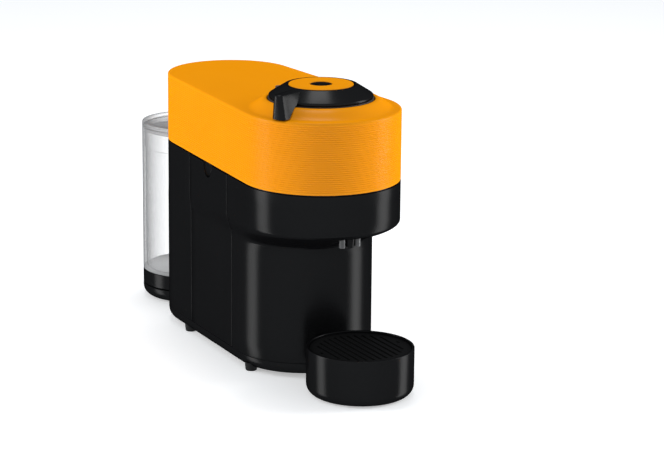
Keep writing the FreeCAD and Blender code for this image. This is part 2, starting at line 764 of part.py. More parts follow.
# ---------------------------------------------------------------- lid
def make_lid():
    low, high = lid_bottom, lid_plate_top
    plate = lathe([(0, low), (lid_radius, low), (lid_radius, high), (hub_outer, high),
                   (hub_outer, hub_bottom), (hub_inner, hub_bottom), (hub_inner, high), (0, high)])
    for i in range(lug_count):
        middle = lever_angle + lever_turn / 2 + i * 360 / lug_count
        reach = peg_radius + 0.5
        plate = plate.cut(sector(peg_orbit - reach, peg_orbit + reach, low - 5, high + 1.5, middle,
                                 lever_turn / 2 + 8))
    arm = box(-knuckle_half_width, knuckle_half_width, 40, hinge_y, low, high)
    knuckle = rod_x(hinge_y, hinge_z, knuckle_radius, -knuckle_half_width, knuckle_half_width)
    frame = fuse([plate, arm, knuckle]).cut(rod_x(hinge_y, hinge_z, hinge_pin_radius + shaft_gap, -30, 30))
    frame = frame.cut(rod(0, 0, light_ring_outer - 0.5, low + 1.5, FAR))
    export("lid_frame", frame)

    floor = low - injector_height
    inner, top = injector_radius - 4.9, floor + 4
    injector = lathe([(0, floor), (injector_radius, floor), (injector_radius, low), (inner, low),
                      (inner, top), (0, top)])
    needles = [rod(0, 0, 1.3, floor - 8, floor)]
    for i in range(6):
        a = math.radians(60 * i + 30)
        needles.append(rod(20 * math.cos(a), 20 * math.sin(a), 0.9, floor - 4.5, floor))
    half, y0, y1 = reader_half, reader_front_y, reader_rear_y
    export("injector_head", fuse([injector] + needles).cut(box(-half, half, y0, y1, floor - 1, floor + 2)))
    export("code_reader", box(-half, half, y0, y1, floor + 0.2, floor + 2))
    export("lid_seal", ring(0, 0, injector_radius - 3.4, injector_radius, floor - 1.4, floor))

    hole, top = button_radius + button_gap, machine_height
    disc = lathe([(hole, disc_bottom), (disc_radius, disc_bottom), (disc_radius, top - 0.6),
                  (disc_radius - 0.6, top), (hole + 0.55, top), (hole, top - 0.5)])
    export("top_disc", fuse([disc, ring(0, 0, hub_inner, hub_outer, hub_bottom, disc_bottom)]))


def make_lever():
    inner, bore, top = hub_outer + turn_gap, disc_radius + turn_gap, ring_top
    groove, tread = hub_bottom + 0.5, ring_bottom + 1.8
    shoulder = disc_bottom - turn_gap
    cone_shape = lathe([(inner, ring_bottom), (ring_radius - 0.8, ring_bottom),
                        (ring_radius, ring_bottom + 0.8), (ring_radius, ring_bottom + 1.6),
                        (ring_radius - 0.9, ring_bottom + 2.8), (ring_top_radius, top - 0.4),
                        (ring_top_radius - 0.6, top), (bore, top), (bore, shoulder), (25.4, shoulder),
                        (25.4, groove), (28.2, groove), (29.2, groove + 2.1), (ring_radius - 3.6, tread),
                        (26, tread), (26, tread + 3), (inner, tread + 3)])
    tip = head_top + 1.2
    outline = [V(29.2, 0, top - 2.7), V(33, 0, top - 0.2), V(57.5, 0, top - 1), V(59.5, 0, top - 2.4),
               V(paddle_reach, 0, tip + 1), V(paddle_reach - 1.5, 0, tip), V(60.5, 0, tip + 0.2),
               V(54.5, 0, tip + 4.4), V(50, 0, ring_bottom), V(43.5, 0, ring_bottom + 1.4)]
    paddle = Part.Face(Part.makePolygon(outline + [outline[0]])).extrude(V(0, paddle_thickness, 0))
    paddle.translate(V(0, -paddle_thickness / 2, 0))
    paddle.rotate(V(0, 0, 0), UP, lever_angle)
    above = lathe([(0, tip - 30), (25.4, tip - 30), (25.4, groove), (28.2, groove), (29.2, groove + 2.1),
                   (ring_radius - 3.6, tread), (ring_radius - 3.6, ring_bottom), (0, ring_bottom)])
    paddle = paddle.cut(above).cut(rod(0, 0, bore, ring_bottom, FAR))
    export("lever_ring", fuse([cone_shape, paddle]))

    low = lid_bottom - lock_height - 2
    high = low + lock_height
    pieces = [ring(0, 0, lock_inner, lock_outer, low, high)]
    for i in range(lug_count):
        angle = lever_angle + i * 360 / lug_count
        pieces.append(sector(lock_outer - 0.6, lug_reach, low, low + lug_height, angle, lug_half_angle))
        a = math.radians(angle)
        pieces.append(rod(peg_orbit * math.cos(a), peg_orbit * math.sin(a), peg_radius, high, ring_bottom))
    export("bayonet_ring", fuse(pieces))


def make_hinge():
    base_top = head_top + 2
    base = box(-ear_outside, ear_outside, opening_radius + 0.8, hinge_pocket_rear - 0.4, head_top, base_top)
    base = base.cut(rod(0, 0, opening_radius + 0.6, 0, FAR))
    ears = []
    for x in (-ear_outside, ear_outside - ear_thickness):
        ear = box(x, x + ear_thickness, hinge_y - 3, hinge_y + 3, base_top, hinge_z)
        ears += [ear, rod_x(hinge_y, hinge_z, 3, x, x + ear_thickness)]
    bracket = fuse([base] + ears).cut(rod_x(hinge_y, hinge_z, hinge_pin_radius, -30, 30))
    export("hinge_bracket", bracket)
    export("hinge_pin", rod_x(hinge_y, hinge_z, hinge_pin_radius, -ear_outside, ear_outside))


light_ring_outer = 11.5


def make_button():
    top, neck = machine_height - 0.3, button_radius - 1
    skirt, crown = disc_bottom - 1.1, disc_bottom + 0.3
    cap = lathe([(0, crown), (neck, crown), (neck, skirt), (button_radius, skirt),
                 (button_radius, top - 0.5), (button_radius - 0.5, top), (0, top)])
    export("brew_button", fuse([cap, rod(0, 0, 3, skirt - 5.2, crown)]))
    low, hole = disc_bottom - 1.5, button_radius + button_gap
    export("light_ring", ring(0, 0, hole, light_ring_outer, low, disc_bottom))
    export("button_spring", coil_spring(0, 0, 5.2, 0.45, lid_bottom + 1.5, crown, 5))


# ---------------------------------------------------------------- water system
def crescent(distance, z0, z1):
    # the tank's round outline, hollowed where it stands against the body, its walls moved in by a distance
    hollow = rod(0, head_centres, lower_rear_radius + tank_gap + distance, z0 - 1, z1 + 1)
    return rod(0, tank_y, tank_radius - distance, z0, z1).cut(hollow)


def rounded_crescent(z0, z1):
    solid = crescent(0, z0, z1)
    upright = [e for e in solid.Edges
               if abs(e.BoundBox.ZLength - (z1 - z0)) < 1e-3 and abs(e.BoundBox.XMin) > 5]
    return solid.makeFillet(tank_corner, upright)


def make_tank():
    outer = rounded_crescent(tank_base_top, tank_top)
    above = crescent(tank_wall, fill_line, tank_top + 1)
    below = crescent(tank_wall + 0.6, tank_floor_top, fill_line)
    port = rod(0, dock_y, valve_radius + 1, 0, tank_floor_top + 1)
    export("tank_body", outer.cut(above).cut(below).cut(port))

    base = rounded_crescent(tank_bottom, tank_base_top)
    under = crescent(wall, 0, tank_base_top - wall)
    base = base.cut(under.cut(rod(0, dock_y, dock_radius + 3.0, 0, FAR)))
    base = base.cut(rod(0, dock_y, dock_radius + slide_gap, 0, platform_top + dock_height + 1.1))
    base = base.cut(rod(0, dock_y, valve_radius - 1.6, 0, FAR))
    export("tank_base", base.cut(rod(0, dock_y, valve_radius + 0.3, valve_head_low - 0.2, FAR)))
    valve = [rod(0, dock_y, valve_radius - 2.0, valve_low, valve_head_low),
             rod(0, dock_y, valve_radius, valve_head_low, valve_head_top)]
    export("tank_valve", fuse(valve))

    low, high = tank_floor_top, tank_floor_top + cage_height
    outside, flange = valve_radius + 1, valve_radius + 3
    cage = lathe([(cage_hole, low), (flange, low), (flange, low + 1.2), (outside, low + 1.2),
                  (outside, high), (cage_hole, high)], 0, dock_y)
    cage = cage.cut(rod(0, dock_y, valve_radius - 0.4, 0, high - cage_cap))
    slot = box(-1.5, 1.5, dock_y - 16, dock_y + 16, low + 2.5, high - 2.5)
    export("valve_cage", cage.cut(slot))
    export("valve_spring", coil_spring(0, dock_y, 3.4, 0.4, valve_head_top, high - cage_cap, 5))

    lid = rounded_crescent(tank_top, lid_top)
    rim = tank_radius - lid_rim_inner
    lid = lid.cut(crescent(rim, lid_top - lid_recess, lid_top + 1))
    plug = crescent(tank_wall + 0.5, tank_top - plug_depth, tank_top)
    plug = plug.cut(crescent(tank_wall + 2.5, 0, FAR))
    export("tank_lid", fuse([lid, plug]))


def make_water_path():
    top, floor = platform_top + dock_height, platform_top + 1.5
    cup = lathe([(0, platform_top), (dock_radius, platform_top), (dock_radius, top),
                 (dock_radius - 1.5, top), (dock_radius - 1.5, floor), (0, floor)], 0, dock_y)
    half = dock_half
    block = box(-half, half, dock_y - half, dock_y + half, dock_block_bottom, platform_top)
    way_down = rod(0, dock_y, 3.0, feed_level, 20).cut(rod(0, dock_y, 1.0, 0, 20))
    way_out = Part.makeCylinder(feed_bore, dock_half + 1, V(0, dock_y, feed_level), V(0, -1, 0))
    dock = fuse([cup, block]).cut(way_down).cut(way_out)
    web = box(-3.5, 3.5, dock_y - 0.8, dock_y + 0.8, 9.0, floor)
    export("tank_dock", fuse([dock, web, rod(0, dock_y, 1.0, feed_level, valve_low - 0.2)]))

    body = [rod(pump_x, pump_y, pump_radius, stand_top, pump_top),
            rod(pump_x, pump_y, 9, pump_bottom, stand_top), rod(pump_x, pump_y, 5, pump_top, pump_top + 12)]
    export("water_pump", fuse(body).cut(rod(pump_x, pump_y, feed_bore, 0, stand_top - 1)))
    middle = (stand_top + pump_top) / 2
    export("pump_mount", ring(pump_x, pump_y, pump_radius, pump_radius + 3.5, middle - 7, middle + 7))

    x0, x1 = heater_x - heater_half_x, heater_x + heater_half_x
    heater = box(x0, x1, heater_y - heater_half_y, heater_y + heater_half_y, stand_top, heater_top)
    pitch = (heater_top - stand_top - 7.5) / heater_fins
    for i in range(heater_fins):
        z = stand_top + 6 + i * pitch
        heater = heater.cut(box(x0 - 3, x0 + 3, heater_y - 28, heater_y + 32, z, z + pitch * 0.53))
    spigot = rod(heater_x, heater_y, 4, heater_top, heater_top + 8)
    export("flow_heater", fuse([heater, spigot]))

    export("feed_hose", hose(feed_points, feed_radius, feed_bore))
    bend = deck_bottom - 11
    pressure = [(pump_x, pump_y, pump_top + 12), (pump_x, pump_y, bend - 2), (0, pump_y + 3, bend + 4),
                (heater_x, heater_y, bend), (heater_x, heater_y, heater_top + 8)]
    export("pressure_hose", hose(pressure, 2.4, 1.4))
    stem = rod(meter_x, meter_y, 4, deck_top, deck_top + 6)
    export("flow_meter", fuse([rod(meter_x, meter_y, 9, deck_top + 6, deck_top + 16), stem]))


def make_electronics():
    export("control_board", box(board_x0, board_x1, board_y0, board_y1, board_bottom, board_top))
    places = [(x, y) for x in (board_x0 + board_margin, board_x1 - board_margin)
              for y in (board_y0 + board_margin, board_y1 - board_margin)]
    stands = [rod(x, y, 2.5, deck_top, board_bottom) for x, y in places]
    export("board_stands", Part.makeCompound(stands))
    # transformer, relay, two connectors and two capacitors, each x, x, y, y and height above the board
    blocks = [(-8, 14, 150, 172, 18.4), (20, 36, 152, 162, 12.4), (-8, 6, 182, 204, 6.4),
              (10, 18, 190, 202, 9.4)]
    parts = [box(x0, x1, y0, y1, board_top, board_top + high) for x0, x1, y0, y1, high in blocks]
    cans = [(176, 6, 22.4), (192, 5, 16.4)]
    parts += [rod(26, y, radius, board_top, board_top + high) for y, radius, high in cans]
    export("board_parts", Part.makeCompound(parts))


# ---------------------------------------------------------------- cup support
def make_tray():
    outer = rod(0, tray_y, tray_radius, 0, tray_height)
    outer = outer.makeFillet(tray_round, edges_at(outer, 0))
    outer = outer.makeFillet(tray_rim_round, edges_at(outer, tray_height))
    grid_seat = grid_top - grid_thickness
    hollow = fuse([rod(0, tray_y, tray_radius - tray_wall, grid_seat, tray_height + 1),
                   rod(0, tray_y, tray_radius - tray_wall - grid_ledge, tray_floor, grid_seat)])
    half = tongue_half_width + slide_gap
    back = tray_y + tray_radius
    slot = box(-half, half, back - tongue_reach - 2, back + 1, tongue_bottom - slide_gap,
               tongue_bottom + tongue_thickness + slide_gap)
    export("drip_tray", outer.cut(hollow).cut(slot))
    grid_radius = tray_radius - tray_wall - turn_gap
    grid = rod(0, tray_y, grid_radius, grid_seat, grid_top)
    reach = grid_radius - grid_margin
    count = int(reach / slot_pitch)
    for i in range(-count, count + 1):
        x = i * slot_pitch
        half = math.sqrt(reach ** 2 - x ** 2)
        side = slot_width / 2
        grid = grid.cut(box(x - side, x + side, tray_y - half, tray_y + half, grid_seat - 1, grid_top + 1))
    export("drip_grid", grid)


# ---------------------------------------------------------------- all of it
def main():
    os.makedirs("parts", exist_ok=True)
    outer, inner, shell = make_body_shell()
    make_housings(outer, inner, shell)
    make_gland()
    pan = make_base()
    make_feet(pan)
    make_base_screws()
    make_head_cover()
    make_head_seam()
    make_deck()
    make_deck_screws()
    make_container(outer, inner)
    make_bay()
    make_chute()
    make_brewing()
    make_drive()
    make_outlet()
    make_lid()
    make_lever()
    make_hinge()
    make_button()
    make_tank()
    make_water_path()
    make_electronics()
    make_tray()


main()
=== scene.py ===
import bpy
import bmesh
import json
from math import sin, cos, tan, asin, acos, atan, atan2, pi, radians, sqrt
from mathutils import Vector, Matrix


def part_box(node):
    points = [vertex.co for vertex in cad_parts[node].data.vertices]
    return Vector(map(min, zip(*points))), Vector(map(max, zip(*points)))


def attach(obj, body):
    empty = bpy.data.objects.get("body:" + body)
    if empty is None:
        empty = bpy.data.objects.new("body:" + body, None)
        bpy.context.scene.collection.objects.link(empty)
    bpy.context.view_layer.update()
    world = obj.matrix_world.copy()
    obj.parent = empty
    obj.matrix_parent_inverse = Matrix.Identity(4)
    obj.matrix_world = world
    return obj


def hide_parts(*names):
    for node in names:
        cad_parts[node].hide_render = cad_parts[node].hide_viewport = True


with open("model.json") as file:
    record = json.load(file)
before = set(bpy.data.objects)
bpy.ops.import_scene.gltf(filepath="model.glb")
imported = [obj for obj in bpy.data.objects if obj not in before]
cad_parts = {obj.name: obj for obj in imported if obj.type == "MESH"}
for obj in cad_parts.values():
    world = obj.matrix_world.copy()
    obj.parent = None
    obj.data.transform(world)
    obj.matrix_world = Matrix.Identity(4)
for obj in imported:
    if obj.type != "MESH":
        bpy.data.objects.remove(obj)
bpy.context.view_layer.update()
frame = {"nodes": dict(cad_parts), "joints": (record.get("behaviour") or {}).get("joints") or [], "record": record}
mm = 0.001

# places that every piece is built from, read off the frame
jointAt = {joint["name"]: joint for joint in frame["joints"]}
brewY = jointAt["lever_turn"]["pos_m"][1]
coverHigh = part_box("head_cover")[1]
seamLow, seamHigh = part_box("head_seam")
trayLow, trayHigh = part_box("drip_tray")
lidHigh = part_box("tank_lid")[1]
housingLow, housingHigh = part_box("front_housing")
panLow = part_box("base_pan")[0]
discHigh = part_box("top_disc")[1]
trayY = (trayLow.y + trayHigh.y) / 2
rearRadius = 56.8 * mm
rearY = coverHigh.y - rearRadius
lowerFrontRadius = 60.4 * mm
lowerRearRadius = 57 * mm
tankRadius = 43.5 * mm
tankY = lidHigh.y - tankRadius

# a plan is a round front end, a round rear end and the straight sides that touch both
headPlan = {"frontY": brewY, "frontRadius": 68 * mm, "rearY": rearY, "rearRadius": rearRadius}
lowerPlan = {"frontY": brewY + 32.5 * mm, "frontRadius": lowerFrontRadius, "rearY": rearY,
             "rearRadius": lowerRearRadius}


# materials

class Field:  # a socket that can be used in a sum
    def __init__(self, finish, socket):
        self.finish, self.socket = finish, socket

    def math(self, operation, *values):
        return self.finish.node("ShaderNodeMath", {"operation": operation}, dict(enumerate(values)))

    def __add__(self, other):
        return self.math("ADD", self, other)

    def __sub__(self, other):
        return self.math("SUBTRACT", self, other)

    def __rsub__(self, other):
        return self.math("SUBTRACT", other, self)

    def __mul__(self, other):
        return self.math("MULTIPLY", self, other)

    def __pow__(self, other):
        return self.math("POWER", self, other)

    def __gt__(self, other):
        return self.math("GREATER_THAN", self, other)

    __radd__ = __add__
    __rmul__ = __mul__


class Finish:  # one material and its nodes
    def __init__(self, name, **constants):
        self.material = bpy.data.materials.new(name)
        self.material.use_nodes = True
        self.tree = self.material.node_tree
        self.tree.nodes.clear()
        self.shader = self.tree.nodes.new("ShaderNodeBsdfPrincipled")
        self.output = self.tree.nodes.new("ShaderNodeOutputMaterial")
        self.tree.links.new(self.shader.outputs[0], self.output.inputs["Surface"])
        for socket, value in constants.items():
            self.shader.inputs[socket.replace("_", " ")].default_value = value

    def node(self, kind, settings=None, sockets=None, out=0):
        made = self.tree.nodes.new(kind)
        for setting, value in (settings or {}).items():
            if setting == "stops":
                self.fillRamp(made.color_ramp, value)
            else:
                setattr(made, setting, value)
        for key, value in (sockets or {}).items():
            if isinstance(value, Field):
                self.tree.links.new(value.socket, made.inputs[key])
            else:
                made.inputs[key].default_value = value
        return Field(self, made.outputs[out])

    def fillRamp(self, ramp, stops):
        while len(ramp.elements) < len(stops):
            ramp.elements.new(1)
        for element, (place, colour) in zip(ramp.elements, stops):
            element.position, element.color = place, colour

    def link(self, **fields):
        for socket, field in fields.items():
            self.tree.links.new(field.socket, self.shader.inputs[socket.replace("_", " ")])
        return self

    def place(self):
        return self.node("ShaderNodeTexCoord", out="Object")

    def noise(self, scale, detail=3, roughness=0.5):
        sockets = {"Vector": self.place(), "Scale": scale, "Detail": detail, "Roughness": roughness}
        return self.node("ShaderNodeTexNoise", {"noise_dimensions": "3D"}, sockets)

    def mix(self, factor, low, high):
        return self.node("ShaderNodeMix", {"data_type": "RGBA"}, {0: factor, 6: low, 7: high}, out=2)

    def bump(self, height, distance, strength=1.0):
        sockets = {"Height": height, "Distance": distance, "Strength": strength}
        return self.link(Normal=self.node("ShaderNodeBump", {}, sockets))


def rgb(red, green, blue):
    return (red, green, blue, 1.0)


def gloss(finish, amount, roughness=0.3):
    # a thin shine that is strongest where the wall faces the eye, and fades where it turns away
    facing = finish.node("ShaderNodeLayerWeight", {}, {"Blend": 0.5}, out="Facing")
    finish.shader.inputs["Coat Roughness"].default_value = roughness
    finish.link(Coat_Weight=(facing * -1 + 1) ** 2 * amount)


def makePlastic(name, colour, deeper, roughness, grainSize, grainDepth, specular=0.5, sheen=0.0):
    # moulded plastic: a fine spark-eroded grain, with a slow drift in colour and gloss
    finish = Finish(name, Specular_IOR_Level=specular)
    drift = finish.noise(14, 2)
    finish.link(Base_Color=finish.mix(drift, rgb(*deeper), rgb(*colour)))
    finish.link(Roughness=drift * 0.06 + finish.noise(1 / grainSize, 2) * 0.05 + (roughness - 0.055))
    finish.bump(finish.noise(1 / grainSize, 1), grainDepth)
    if sheen:
        gloss(finish, sheen, roughness * 0.75)
    return finish.material


def makeMetal(name, colour, roughness, streak):
    # turned or drawn metal: faint scratches along one way, and uneven polish
    finish = Finish(name, Metallic=1.0)
    stretched = finish.node("ShaderNodeMapping", {}, {"Vector": finish.place(), "Scale": streak})
    lines = finish.node("ShaderNodeTexNoise", {}, {"Vector": stretched, "Scale": 40, "Detail": 4})
    finish.link(Base_Color=finish.mix(finish.noise(30, 3), rgb(*[0.82 * c for c in colour]), rgb(*colour)))
    finish.link(Roughness=lines * 0.16 + (roughness - 0.08))
    finish.bump(lines, 0.00002)
    return finish.material


def makeClear(name, colour, paintedEdgeShade, least, most, roughness, hazyBelow):
    # clear moulded plastic: seen through face on, with painted shade that darkens its colour where the wall turns
    # away, frosted on its floor
    finish = Finish(name, Roughness=roughness, Specular_IOR_Level=0.02)
    facing = finish.node("ShaderNodeLayerWeight", {}, {"Blend": 0.5}, out="Facing")
    height = finish.node("ShaderNodeSeparateXYZ", {}, {"Vector": finish.place()}, out="Z")
    upright = finish.node("ShaderNodeTexCoord", out="Normal")
    upward = finish.node("ShaderNodeSeparateXYZ", {}, {"Vector": upright}, out="Z")
    frosted = ((height * -1 + hazyBelow) > 0) * (upward > 0.5)
    haze = finish.noise(60, 2)
    turned = facing ** 1.45
    # painted shade: the colour goes to a dark tone where the wall turns from the eye, in place of dark
    # surroundings seen through the edge
    clear = finish.mix(turned + haze * 0.04, rgb(*colour), rgb(*paintedEdgeShade))
    finish.link(Base_Color=finish.mix(frosted, clear, rgb(0.6, 0.6, 0.6)))
    finish.link(Alpha=(turned * (most - least) + haze * 0.02 + least) * (frosted * -1 + 1) + frosted * 0.93)
    gloss(finish, 0.6, roughness)
    return finish.material


materials = {
    "cover_yellow": makePlastic(
        "coverYellow", (0.92, 0.325, 0.004), (0.88, 0.30, 0.003),
        roughness=0.34, grainSize=0.0011, grainDepth=0.000004, specular=0.0, sheen=0.4),
    "body_black": makePlastic(
        "bodyBlack", (0.0046, 0.0046, 0.005), (0.0034, 0.0034, 0.0037),
        roughness=0.34, grainSize=0.0010, grainDepth=0.000006, specular=0.0, sheen=0.5),
    "lever_black": makePlastic(
        "leverBlack", (0.0055, 0.0055, 0.006), (0.004, 0.004, 0.0044),
        roughness=0.32, grainSize=0.0009, grainDepth=0.000005, specular=0.0, sheen=0.6),
    "grid_black": makePlastic(
        "gridBlack", (0.010, 0.010, 0.0105), (0.008, 0.008, 0.008),
        roughness=0.45, grainSize=0.0010, grainDepth=0.000008, specular=0.0, sheen=0.3),
    "frame_plastic": makePlastic(
        "framePlastic", (0.055, 0.055, 0.06), (0.04, 0.04, 0.043),
        roughness=0.5, grainSize=0.0015, grainDepth=0.00002),
    "cup_grey": makePlastic(
        "cupGrey", (0.10, 0.10, 0.105), (0.08, 0.08, 0.085),
        roughness=0.35, grainSize=0.0015, grainDepth=0.00001),
    "outlet_grey": makePlastic(
        "outletGrey", (0.10, 0.10, 0.10), (0.07, 0.07, 0.07),
        roughness=0.25, grainSize=0.0012, grainDepth=0.00001),
    "rubber": makePlastic(
        "footRubber", (0.012, 0.012, 0.012), (0.008, 0.008, 0.008),
        roughness=0.72, grainSize=0.0008, grainDepth=0.00003, specular=0.3),
    "hose_clear": makePlastic(
        "hoseSilicone", (0.62, 0.62, 0.6), (0.52, 0.52, 0.5),
        roughness=0.4, grainSize=0.002, grainDepth=0.00001),
    "board_green": makePlastic(
        "boardLacquer", (0.01, 0.11, 0.04), (0.008, 0.08, 0.03),
        roughness=0.3, grainSize=0.002, grainDepth=0.00001),
    "part_black": makePlastic(
        "componentBlack", (0.02, 0.02, 0.02), (0.014, 0.014, 0.014),
        roughness=0.45, grainSize=0.0012, grainDepth=0.00001),
    "light_white": makePlastic(
        "lightRingWhite", (0.62, 0.62, 0.6), (0.55, 0.55, 0.53),
        roughness=0.35, grainSize=0.001, grainDepth=0.00001),
    "steel": makeMetal("brightSteel", (0.6, 0.6, 0.61), 0.28, (1, 1, 12)),
    "heater_metal": makeMetal("castAluminium", (0.55, 0.55, 0.56), 0.45, (3, 3, 3)),
    # the third colour is painted shade for the tank's edges
    "tank_clear": makeClear("tankClear", (0.6, 0.6, 0.6), (0.03, 0.03, 0.032), 0.01, 0.9, 0.15, 29.2 * mm),
}
print("materials made:", len(materials))


# tools for shapes

def roundCorners(points, steps=6):
    # each point is (across, up) or (across, up, radius); a radius turns the corner into an arc
    outline = []
    count = len(points)
    for i, point in enumerate(points):
        here = Vector(point[:2])
        if len(point) < 3:
            outline.append(here)
            continue
        before, after = Vector(points[i - 1][:2]), Vector(points[(i + 1) % count][:2])
        into, out = (here - before).normalized(), (after - here).normalized()
        turn = acos(max(-1, min(1, into.dot(out))))
        reach = point[2] * tan(turn / 2)
        side = 1 if into.x * out.y - into.y * out.x > 0 else -1
        start = here - into * reach
        middle = start + Vector((-into.y, into.x)) * point[2] * side
        for k in range(steps + 1):
            spoke = start - middle
            spoke.rotate(Matrix.Rotation(side * turn * k / steps, 2))
            outline.append(middle + spoke)
    return outline


def inMillimetres(*points):
    return [tuple(value * mm for value in point) for point in points]


def uprightEdges(bm):
    return [e for e in bm.edges if abs(e.verts[0].co.z - e.verts[1].co.z) > mm]


def roundEdges(bm, edges, radius, segments):
    bmesh.ops.bevel(bm, geom=edges, offset=radius, segments=segments, profile=0.5, affect="EDGES",
                    material=-1)


def finishPiece(name, bm, slot, body, replaces=(), smooth=32, merge=1e-6):
    # closes, smooths and links a mesh, and puts it in the frame
    bmesh.ops.remove_doubles(bm, verts=bm.verts, dist=merge)
    bmesh.ops.recalc_face_normals(bm, faces=bm.faces)
    mesh = bpy.data.meshes.new(name)
    bm.to_mesh(mesh)
    bm.free()
    mesh.shade_smooth()
    mesh.set_sharp_from_angle(angle=radians(smooth))
    piece = bpy.data.objects.new(name, mesh)
    bpy.context.scene.collection.objects.link(piece)
    mesh.materials.append(materials[slot])
    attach(piece, body)
    if replaces:
        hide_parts(*replaces)
    return piece


def lathe(points, x=0.0, y=0.0, steps=96, closed=True):
    # turns an outline of (radius, height) about an upright axis
    bm = bmesh.new()
    verts = [bm.verts.new((p[0], 0, p[1])) for p in points]
    chain = zip(verts, verts[1:] + (verts[:1] if closed else []))
    edges = [bm.edges.new(pair) for pair in chain if not (pair[0].co.x < 1e-7 and pair[1].co.x < 1e-7)]
    bmesh.ops.spin(bm, geom=verts + edges, cent=(0, 0, 0), axis=(0, 0, 1), angle=2 * pi, steps=steps,
                   use_merge=True, use_duplicate=False)
    bmesh.ops.remove_doubles(bm, verts=bm.verts, dist=1e-6)
    bmesh.ops.translate(bm, verts=bm.verts, vec=(x, y, 0))
    return bm


def boxMesh(low, high, bevel=0.0):
    bm = bmesh.new()
    bmesh.ops.create_cube(bm, size=1)
    low, high = Vector(low), Vector(high)
    bmesh.ops.scale(bm, verts=bm.verts, vec=high - low)
    bmesh.ops.translate(bm, verts=bm.verts, vec=(low + high) / 2)
    if bevel:
        roundEdges(bm, bm.edges[:], bevel, 3)
    return bm


def addInto(bm, other):
    # joins another mesh to this one
    mesh = bpy.data.meshes.new("joining")
    other.to_mesh(mesh)
    other.free()
    bm.from_mesh(mesh)
    bpy.data.meshes.remove(mesh)
    return bm


def combine(bm, other, operation):
    # a boolean between two closed meshes, worked out once and kept as plain mesh
    holders = []
    for part in (bm, other):
        bmesh.ops.recalc_face_normals(part, faces=part.faces)
        mesh = bpy.data.meshes.new("combining")
        part.to_mesh(mesh)
        part.free()
        holder = bpy.data.objects.new("combining", mesh)
        bpy.context.scene.collection.objects.link(holder)
        holders.append(holder)
    modifier = holders[0].modifiers.new("cut", "BOOLEAN")
    modifier.operation, modifier.object, modifier.solver = operation, holders[1], "EXACT"
    graph = bpy.context.evaluated_depsgraph_get()
    result = bmesh.new()
    result.from_mesh(holders[0].evaluated_get(graph).to_mesh())
    for holder in holders:
        mesh = holder.data
        bpy.data.objects.remove(holder)
        bpy.data.meshes.remove(mesh)
    return result


columnCounts = {"front": 72, "side": 18, "rear": 52}
columnTotal = columnCounts["front"] + 2 * columnCounts["side"] + columnCounts["rear"]


def planPoint(plan, inset, column):
    # a point on a plan's outline, counted from its left side round the front
    frontRadius, rearEnd = plan["frontRadius"] - inset, plan["rearRadius"] - inset
    length = plan["rearY"] - plan["frontY"]
    lean = asin((plan["frontRadius"] - plan["rearRadius"]) / length)
    along = sqrt(length ** 2 - (plan["frontRadius"] - plan["rearRadius"]) ** 2)
    front, side, rear = columnCounts["front"], columnCounts["side"], columnCounts["rear"]
    if column <= front:
        turn = pi - lean + (pi + 2 * lean) * column / front
        return Vector((frontRadius * cos(turn), plan["frontY"] + frontRadius * sin(turn)))
    column -= front
    onLeft = column >= side + rear
    if column <= side or onLeft:
        step = column / side if not onLeft else (2 * side + rear - column) / side
        reach = plan["frontRadius"] * tan(step * atan(along / plan["frontRadius"]))
        x = frontRadius * cos(lean) - reach * sin(lean)
        y = plan["frontY"] + frontRadius * sin(lean) + reach * cos(lean)
        return Vector((-x if onLeft else x, y))
    turn = lean + (pi - 2 * lean) * (column - side) / rear
    return Vector((rearEnd * cos(turn), plan["rearY"] + rearEnd * sin(turn)))


def wrap(rows, place, columns=None):
    # a grid closed into a tube: place(column, row) gives each corner
    columns = columns or columnTotal
    bm = bmesh.new()
    bmesh.ops.create_grid(bm, x_segments=columns, y_segments=rows - 1, size=0.5)
    for vert in bm.verts:
        column, row = round((vert.co.x + 0.5) * columns), round((vert.co.y + 0.5) * (rows - 1))
        vert.co = place(column % columns, row)
    bmesh.ops.remove_doubles(bm, verts=bm.verts, dist=1e-7)
    return bm


def closeEnds(bm):
    # fills every open rim with a flat face
    rims = [edge for edge in bm.edges if edge.is_boundary]
    bmesh.ops.holes_fill(bm, edges=rims, sides=0)
    return bm


# camera, light and floor

view = {"azimuth": radians(-26.084), "elevation": radians(14.633), "distance": 2.3255,
        "target": Vector((0, 0.15287 + brewY, 0.08466)), "lens": 139.28, "shift": (0.1374, 0.0075)}


def makeCamera():
    turn, tilt = view["azimuth"], view["elevation"]
    back = Vector((sin(turn) * cos(tilt), -cos(turn) * cos(tilt), sin(tilt)))
    data = bpy.data.cameras.new("camera")
    data.lens, data.sensor_width, data.clip_end = view["lens"], 36, 30
    data.shift_x, data.shift_y = view["shift"]
    camera = bpy.data.objects.new("camera", data)
    camera.location = view["target"] + back * view["distance"]
    camera.rotation_euler = (pi / 2 - tilt, 0, turn)
    bpy.context.scene.collection.objects.link(camera)
    bpy.context.scene.camera = camera


def makeLight(name, turn, tilt, distance, size, power, colour=(1, 1, 1)):
    # a soft box that faces the machine from a direction round the camera's own
    turn, tilt = view["azimuth"] + radians(turn), radians(tilt)
    away = Vector((sin(turn) * cos(tilt), -cos(turn) * cos(tilt), sin(tilt)))
    data = bpy.data.lights.new(name, "AREA")
    data.shape, (data.size, data.size_y) = "RECTANGLE", size
    data.energy, data.color = power, colour
    light = bpy.data.objects.new(name, data)
    light.location = Vector((0, 0, 0.12)) + away * distance
    light.rotation_mode = "QUATERNION"
    light.rotation_quaternion = away.to_track_quat("Z", "Y")
    bpy.context.scene.collection.objects.link(light)


